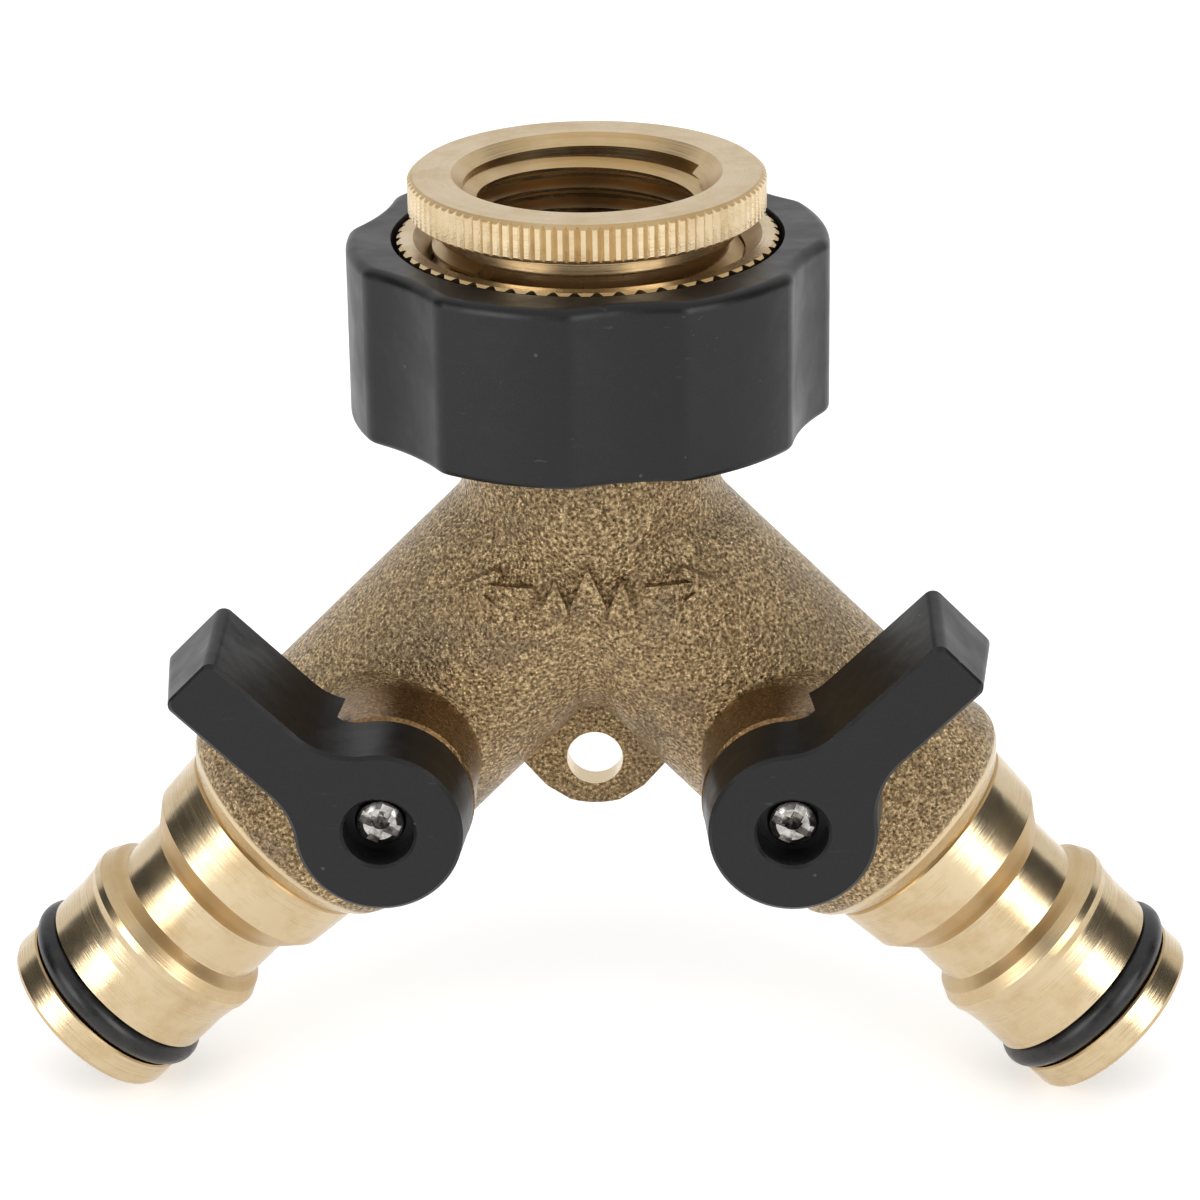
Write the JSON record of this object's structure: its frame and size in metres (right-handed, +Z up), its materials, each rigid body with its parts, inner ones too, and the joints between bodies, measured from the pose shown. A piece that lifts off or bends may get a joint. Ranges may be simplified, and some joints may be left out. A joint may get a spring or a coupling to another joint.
{
  "type": "hose splitter",
  "caption": "Two-way brass hose splitter: swivel-nut tap inlet with a thread adapter, and a lever ball valve with a quick-click tail on each leg.",
  "frame": {"origin": "on the inlet axis, on the top face of the adapter's washer, where a tap's spout end seats", "axes": "+Z up out of the inlet along its axis, -Y the front with the levers, +X right as seen from the front"},
  "size_m": [0.1052, 0.0455, 0.0856],
  "materials": {
    "cast_brass": "rough sand-cast skin, matte with bright grains",
    "turned_brass": "fine-turned, bright",
    "plated_steel": "bright nickel plate",
    "spring_steel": "satin",
    "black_plastic": "satin moulded nylon",
    "black_rubber": "matte",
    "ptfe": "smooth white PTFE"
  },
  "bodies": {
    "casting": {"splitter_body": "cast_brass", "snap_ring": "spring_steel", "nut_washer": "black_rubber", "left_seat_inner": "ptfe", "left_seat_outer": "ptfe", "left_spigot": "turned_brass", "left_body_o_ring": "black_rubber", "left_spigot_o_ring": "black_rubber", "right_seat_inner": "ptfe", "right_seat_outer": "ptfe", "right_spigot": "turned_brass", "right_body_o_ring": "black_rubber", "right_spigot_o_ring": "black_rubber"},
    "swivel_nut": {"inlet_nut": "turned_brass", "nut_cover": "black_plastic"},
    "adapter_seal": {"adapter_washer": "black_rubber"},
    "adapter": {"thread_adapter": "turned_brass"},
    "left_valve": {"left_lever": "black_plastic", "left_lever_screw": "plated_steel", "left_stem": "turned_brass", "left_ball": "plated_steel", "left_stem_washer": "ptfe", "left_stem_o_rings": "black_rubber"},
    "right_valve": {"right_lever": "black_plastic", "right_lever_screw": "plated_steel", "right_stem": "turned_brass", "right_ball": "plated_steel", "right_stem_washer": "ptfe", "right_stem_o_rings": "black_rubber"}
  },
  "joints": [
    {"name": "nut_swivel", "type": "hinge", "parent": "casting", "child": "swivel_nut", "pos_m": [0, 0, 0], "axis": [0, 0, 1], "continuous": true},
    {"name": "adapter_lift", "type": "slide", "parent": "swivel_nut", "child": "adapter_seal", "axis": [0, 0, 1], "range_m": [0, 0.00726]},
    {"name": "adapter_screw", "type": "hinge", "parent": "adapter_seal", "child": "adapter", "pos_m": [0, 0, 0], "axis": [0, 0, 1], "range_deg": [0, 1440]},
    {"name": "left_lever", "type": "hinge", "parent": "casting", "child": "left_valve", "pos_m": [-0.01729, 0, -0.04079], "axis": [0, -1, 0], "range_deg": [0, 90]},
    {"name": "right_lever", "type": "hinge", "parent": "casting", "child": "right_valve", "pos_m": [0.01729, 0, -0.04079], "axis": [0, 1, 0], "range_deg": [0, 90]}
  ],
  "couplings": [
    {"joint": "adapter_lift", "follows": "adapter_screw", "m_per_rad": 0.00028871}
  ]
}
